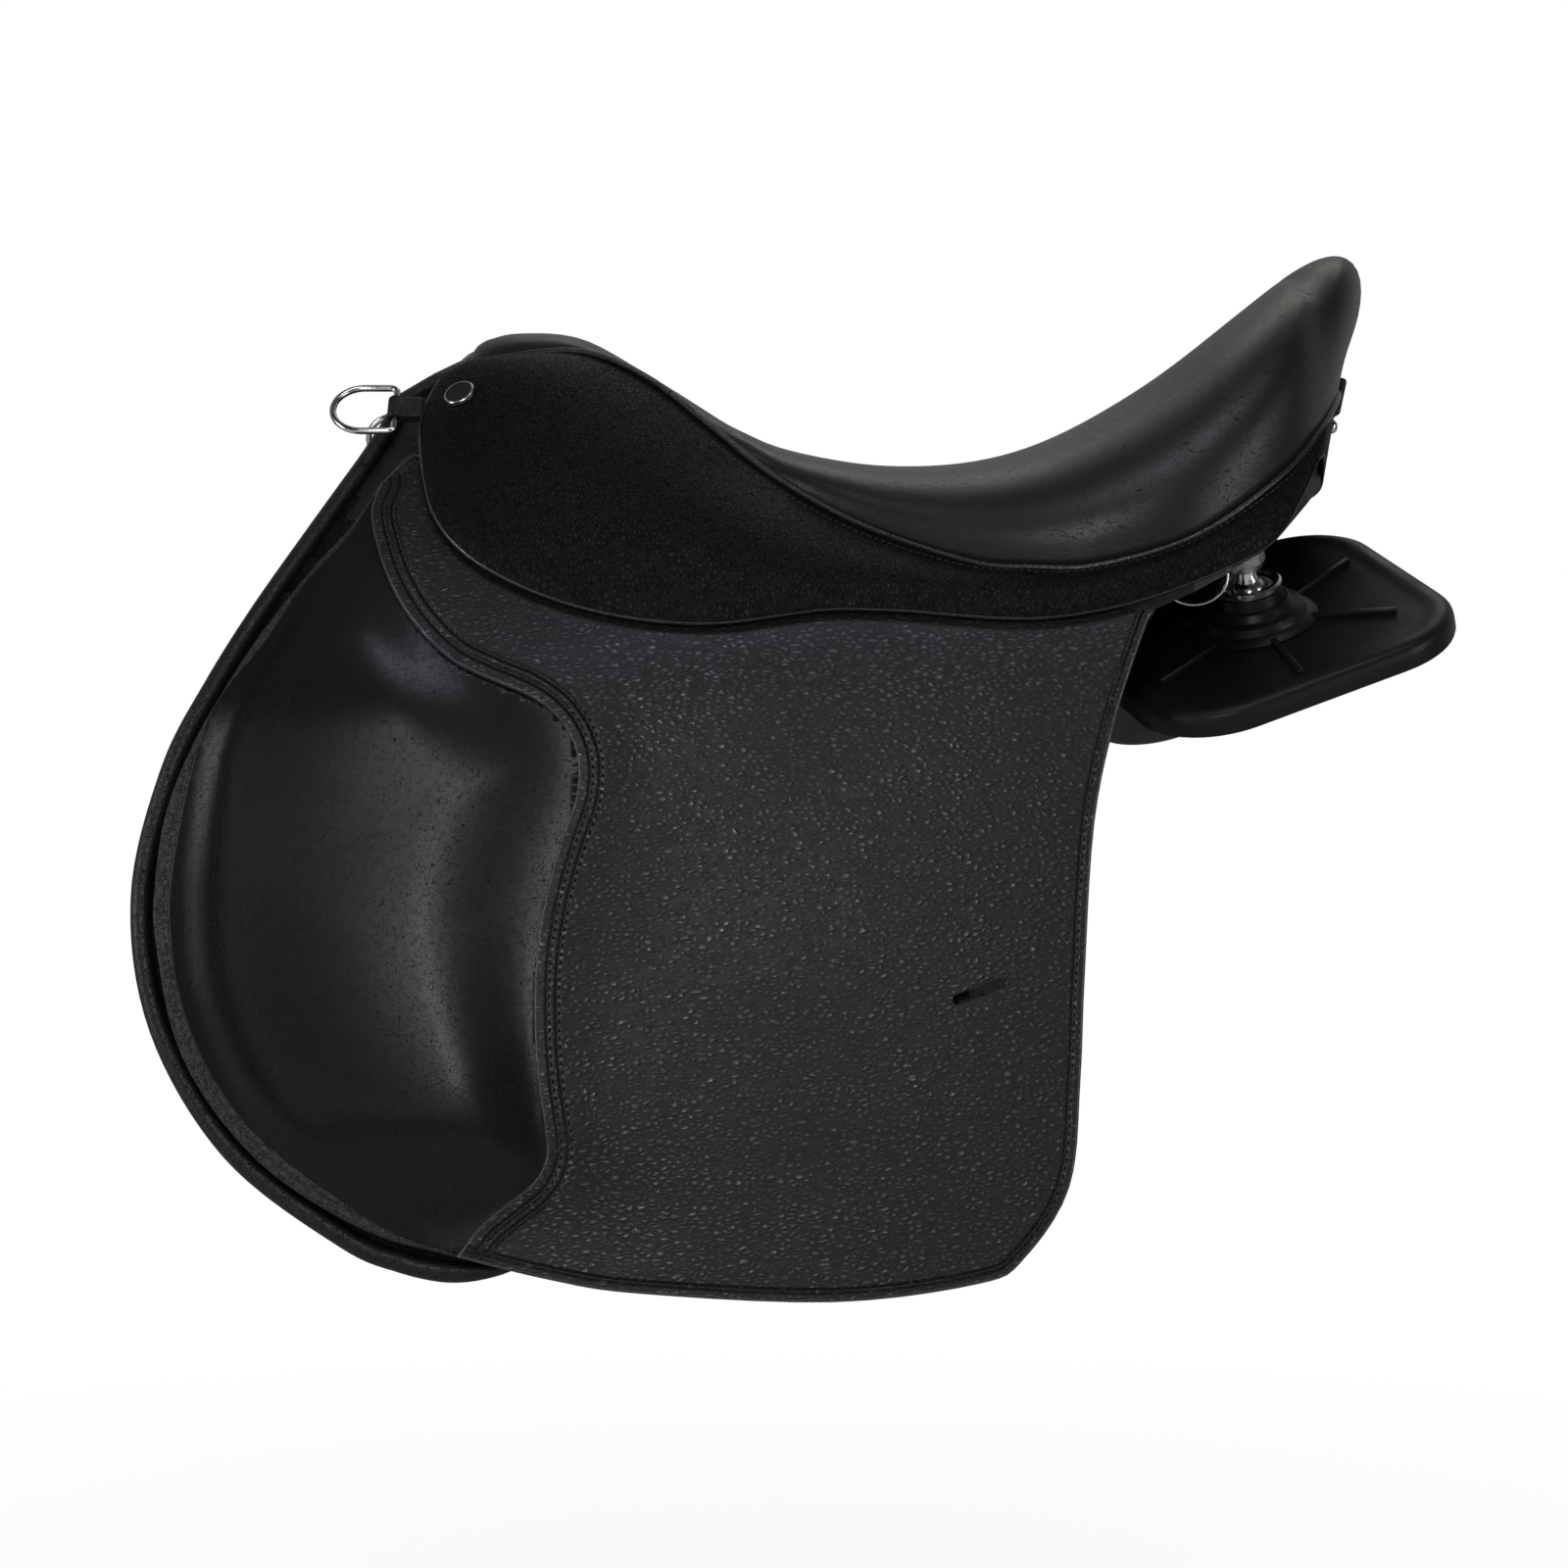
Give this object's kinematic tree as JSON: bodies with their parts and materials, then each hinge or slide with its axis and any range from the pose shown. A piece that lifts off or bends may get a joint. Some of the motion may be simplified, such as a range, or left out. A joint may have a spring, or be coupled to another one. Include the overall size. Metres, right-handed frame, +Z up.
{
  "type": "saddle",
  "caption": "English riding saddle with deep seat, forward flap and knee pad, carried on ribbed plates that tilt on ball joints.",
  "frame": {"origin": "on the symmetry plane under the tree, at the height where the under flaps start to hang free", "axes": "+X from pommel to cantle, -Y the near (left) side, +Z up"},
  "size_m": [0.6172, 0.4102, 0.4935],
  "materials": {
    "grain_leather": "coarse grain, semi-matt black",
    "smooth_leather": "smooth, soft sheen, black",
    "strap_leather": "flat strap leather, black",
    "plate_rubber": "matt black moulding with ribs",
    "bright_steel": "bright polished",
    "strap_steel": "bare strap",
    "badge_metal": "dark plain disc with a bright edge",
    "liner_nylon": "natural",
    "seat_foam": "open-cell foam",
    "tree_plastic": "moulded"
  },
  "bodies": {
    "saddle": {"tree": "tree_plastic", "gullet_plate": "strap_steel", "rear_bridge": "strap_steel", "seat_foam": "seat_foam", "seat_cover": "smooth_leather", "pommel_facing": "smooth_leather", "cantle_strap": "strap_leather", "cantle_stud": "bright_steel", "skirt_band_left": "grain_leather", "flap_top_left": "grain_leather", "sweat_flap_left": "grain_leather", "front_roll_left": "smooth_leather", "billet_front_left": "strap_leather", "billet_rear_left": "strap_leather", "stirrup_bar_left": "bright_steel", "front_dee_chape_left": "strap_leather", "rear_dee_chape_left": "strap_leather", "badge_left": "badge_metal", "skirt_band_right": "grain_leather", "flap_top_right": "grain_leather", "sweat_flap_right": "grain_leather", "front_roll_right": "smooth_leather", "billet_front_right": "strap_leather", "billet_rear_right": "strap_leather", "stirrup_bar_right": "bright_steel", "front_dee_chape_right": "strap_leather", "rear_dee_chape_right": "strap_leather", "badge_right": "badge_metal"},
    "flap_left": {"flap_lining_left": "strap_leather", "flap_panel_left": "grain_leather", "knee_pad_left": "smooth_leather"},
    "skirt_left": {"skirt_lobe_left": "grain_leather"},
    "front_ring_left": {"front_dee_left": "bright_steel"},
    "rear_ring_left": {"rear_dee_left": "bright_steel"},
    "catch_left": {"stirrup_catch_left": "bright_steel"},
    "stud_front_left": {"ball_stud_front_left": "bright_steel"},
    "cup_front_left": {"ball_liner_front_left": "liner_nylon"},
    "pad_front_left": {"plate_front_left": "plate_rubber", "lock_ring_front_left": "bright_steel"},
    "stud_rear_left": {"ball_stud_rear_left": "bright_steel"},
    "cup_rear_left": {"ball_liner_rear_left": "liner_nylon"},
    "pad_rear_left": {"plate_rear_left": "plate_rubber", "lock_ring_rear_left": "bright_steel"},
    "flap_right": {"flap_lining_right": "strap_leather", "flap_panel_right": "grain_leather", "knee_pad_right": "smooth_leather"},
    "skirt_right": {"skirt_lobe_right": "grain_leather"},
    "front_ring_right": {"front_dee_right": "bright_steel"},
    "rear_ring_right": {"rear_dee_right": "bright_steel"},
    "catch_right": {"stirrup_catch_right": "bright_steel"},
    "stud_front_right": {"ball_stud_front_right": "bright_steel"},
    "cup_front_right": {"ball_liner_front_right": "liner_nylon"},
    "pad_front_right": {"plate_front_right": "plate_rubber", "lock_ring_front_right": "bright_steel"},
    "stud_rear_right": {"ball_stud_rear_right": "bright_steel"},
    "cup_rear_right": {"ball_liner_rear_right": "liner_nylon"},
    "pad_rear_right": {"plate_rear_right": "plate_rubber", "lock_ring_rear_right": "bright_steel"}
  },
  "joints": [
    {"name": "flap_lift_left", "type": "hinge", "parent": "saddle", "child": "flap_left", "pos_m": [0, -0.16, 0.066], "axis": [-1, 0, 0], "range_deg": [0, 70]},
    {"name": "skirt_lift_left", "type": "hinge", "parent": "saddle", "child": "skirt_left", "pos_m": [-0.172, -0.10554, 0.17923], "axis": [-0.8638, 0.3023, 0.4031], "range_deg": [0, 50]},
    {"name": "front_dee_left", "type": "hinge", "parent": "saddle", "child": "front_ring_left", "pos_m": [-0.186, -0.07716, 0.17933], "axis": [0, 0.6422, 0.7665], "range_deg": [0, 75]},
    {"name": "rear_dee_left", "type": "hinge", "parent": "saddle", "child": "rear_ring_left", "pos_m": [0.192, -0.115, 0.1005], "axis": [-1, 0, 0], "range_deg": [-40, 40]},
    {"name": "catch_turn_left", "type": "hinge", "parent": "saddle", "child": "catch_left", "pos_m": [-0.0767, -0.11766, 0.13841], "axis": [0, -0.7748, 0.6322], "range_deg": [0, 80]},
    {"name": "swivel_front_left", "type": "hinge", "parent": "saddle", "child": "stud_front_left", "pos_m": [-0.095, -0.088, 0.088], "axis": [0, -0.8202, 0.5721], "range_deg": [-10, 10]},
    {"name": "pitch_front_left", "type": "hinge", "parent": "stud_front_left", "child": "cup_front_left", "pos_m": [-0.095, -0.088, 0.088], "axis": [0, 0.5721, 0.8202], "range_deg": [-8, 8]},
    {"name": "roll_front_left", "type": "hinge", "parent": "cup_front_left", "child": "pad_front_left", "pos_m": [-0.095, -0.088, 0.088], "axis": [1, 0, 0], "range_deg": [-8, 8]},
    {"name": "swivel_rear_left", "type": "hinge", "parent": "saddle", "child": "stud_rear_left", "pos_m": [0.2212, -0.094, 0.0902], "axis": [-0.222, -0.4381, 0.8711], "range_deg": [-10, 10]},
    {"name": "pitch_rear_left", "type": "hinge", "parent": "stud_rear_left", "child": "cup_rear_left", "pos_m": [0.2212, -0.094, 0.0902], "axis": [-0.322, 0.8762, 0.3585], "range_deg": [-8, 8]},
    {"name": "roll_rear_left", "type": "hinge", "parent": "cup_rear_left", "child": "pad_rear_left", "pos_m": [0.2212, -0.094, 0.0902], "axis": [0.9203, 0.2009, 0.3356], "range_deg": [-8, 8]},
    {"name": "flap_lift_right", "type": "hinge", "parent": "saddle", "child": "flap_right", "pos_m": [0, 0.16, 0.066], "axis": [1, 0, 0], "range_deg": [0, 70]},
    {"name": "skirt_lift_right", "type": "hinge", "parent": "saddle", "child": "skirt_right", "pos_m": [-0.172, 0.10554, 0.17923], "axis": [0.8638, 0.3023, -0.4031], "range_deg": [0, 50]},
    {"name": "front_dee_right", "type": "hinge", "parent": "saddle", "child": "front_ring_right", "pos_m": [-0.186, 0.07716, 0.17933], "axis": [0, 0.6422, -0.7665], "range_deg": [0, 75]},
    {"name": "rear_dee_right", "type": "hinge", "parent": "saddle", "child": "rear_ring_right", "pos_m": [0.192, 0.115, 0.1005], "axis": [1, 0, 0], "range_deg": [-40, 40]},
    {"name": "catch_turn_right", "type": "hinge", "parent": "saddle", "child": "catch_right", "pos_m": [-0.0767, 0.11766, 0.13841], "axis": [0, -0.7748, -0.6322], "range_deg": [0, 80]},
    {"name": "swivel_front_right", "type": "hinge", "parent": "saddle", "child": "stud_front_right", "pos_m": [-0.095, 0.088, 0.088], "axis": [0, -0.8202, -0.5721], "range_deg": [-10, 10]},
    {"name": "pitch_front_right", "type": "hinge", "parent": "stud_front_right", "child": "cup_front_right", "pos_m": [-0.095, 0.088, 0.088], "axis": [0, 0.5721, -0.8202], "range_deg": [-8, 8]},
    {"name": "roll_front_right", "type": "hinge", "parent": "cup_front_right", "child": "pad_front_right", "pos_m": [-0.095, 0.088, 0.088], "axis": [-1, 0, 0], "range_deg": [-8, 8]},
    {"name": "swivel_rear_right", "type": "hinge", "parent": "saddle", "child": "stud_rear_right", "pos_m": [0.2212, 0.094, 0.0902], "axis": [0.222, -0.4381, -0.8711], "range_deg": [-10, 10]},
    {"name": "pitch_rear_right", "type": "hinge", "parent": "stud_rear_right", "child": "cup_rear_right", "pos_m": [0.2212, 0.094, 0.0902], "axis": [0.322, 0.8762, -0.3585], "range_deg": [-8, 8]},
    {"name": "roll_rear_right", "type": "hinge", "parent": "cup_rear_right", "child": "pad_rear_right", "pos_m": [0.2212, 0.094, 0.0902], "axis": [-0.9203, 0.2009, -0.3356], "range_deg": [-8, 8]}
  ]
}
